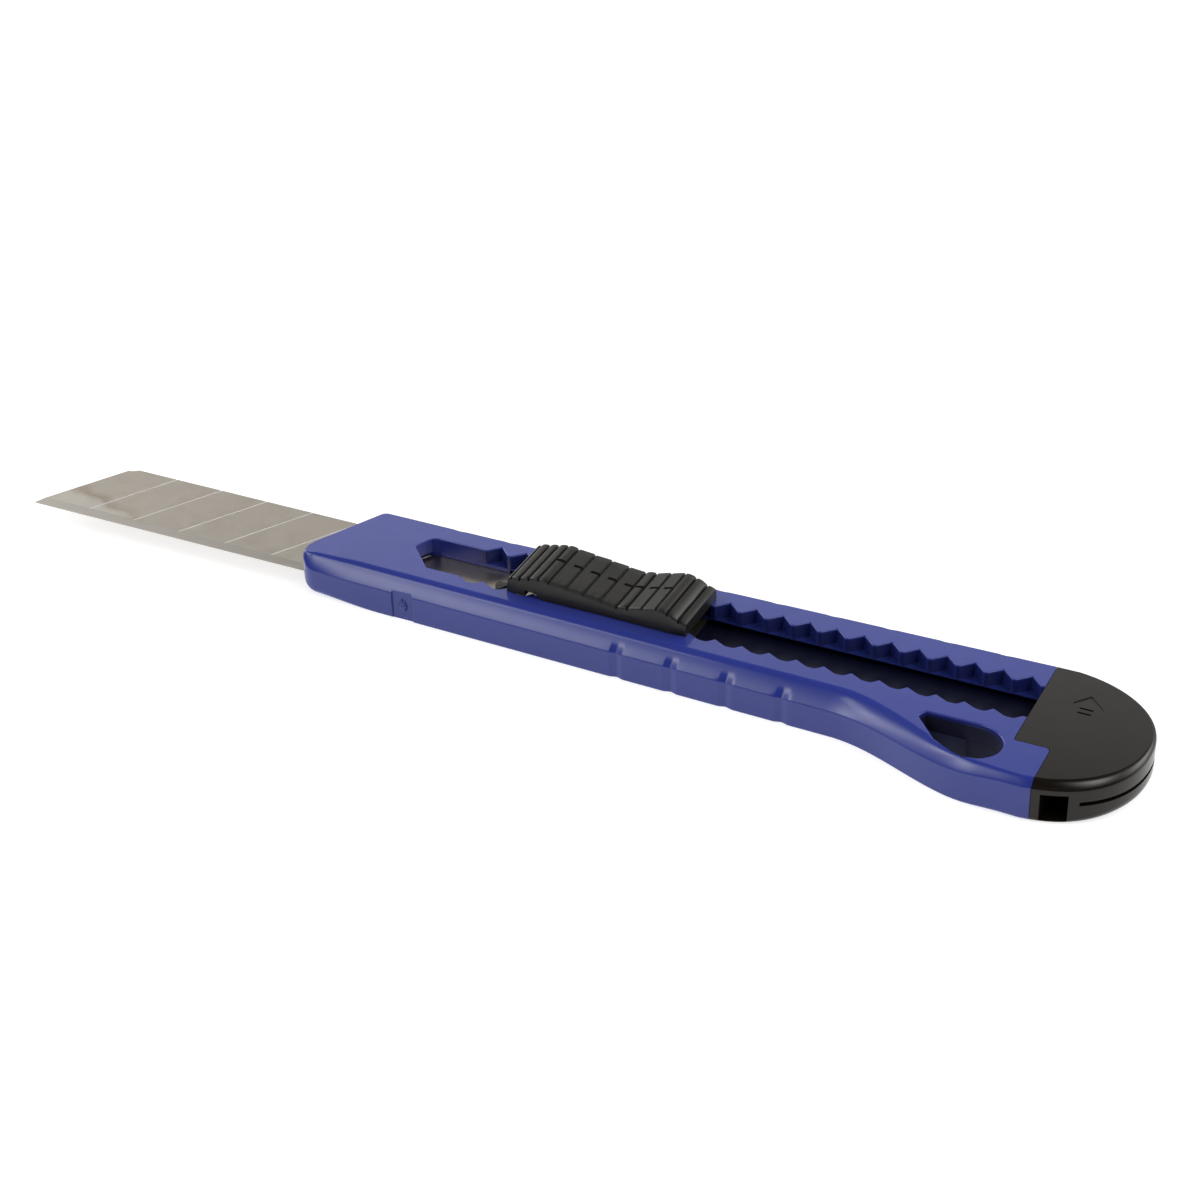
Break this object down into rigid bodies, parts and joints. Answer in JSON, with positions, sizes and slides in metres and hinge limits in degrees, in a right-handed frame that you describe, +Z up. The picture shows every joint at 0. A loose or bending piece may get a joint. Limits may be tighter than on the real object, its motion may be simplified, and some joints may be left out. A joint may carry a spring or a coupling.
{
  "type": "snap-off knife",
  "caption": "Retractable utility knife with a scored snap-off blade, a ratcheting thumb slide in a notched slot, and a slide-off end cap for snapping segments.",
  "frame": {"origin": "middle of the whole knife's length and width, on the handle's underside, with the blade out as drawn", "axes": "+X from the blade's tip to the end cap, +Y from the cutting edge to the spine, +Z up from the underside to the thumb slide"},
  "size_m": [0.2156, 0.0334, 0.012],
  "materials": {
    "blue_plastic": "moulded, semi-gloss",
    "cap_plastic": "moulded, semi-gloss",
    "slide_plastic": "moulded, satin",
    "blade_steel": "ground, lightly oiled"
  },
  "bodies": {
    "handle": {"handle_body": "blue_plastic"},
    "slide": {"thumb_slide": "slide_plastic", "blade_carrier": "slide_plastic", "lock_spring": "slide_plastic", "blade": "blade_steel"},
    "cap": {"end_cap": "cap_plastic"}
  },
  "joints": [
    {"name": "blade_slide", "type": "slide", "parent": "handle", "child": "slide", "axis": [1, 0, 0], "range_m": [-0.005, 0.06], "deforming": ["lock_spring"]},
    {"name": "cap_slide", "type": "slide", "parent": "handle", "child": "cap", "axis": [0, 1, 0], "range_m": [0, 0.036]}
  ]
}
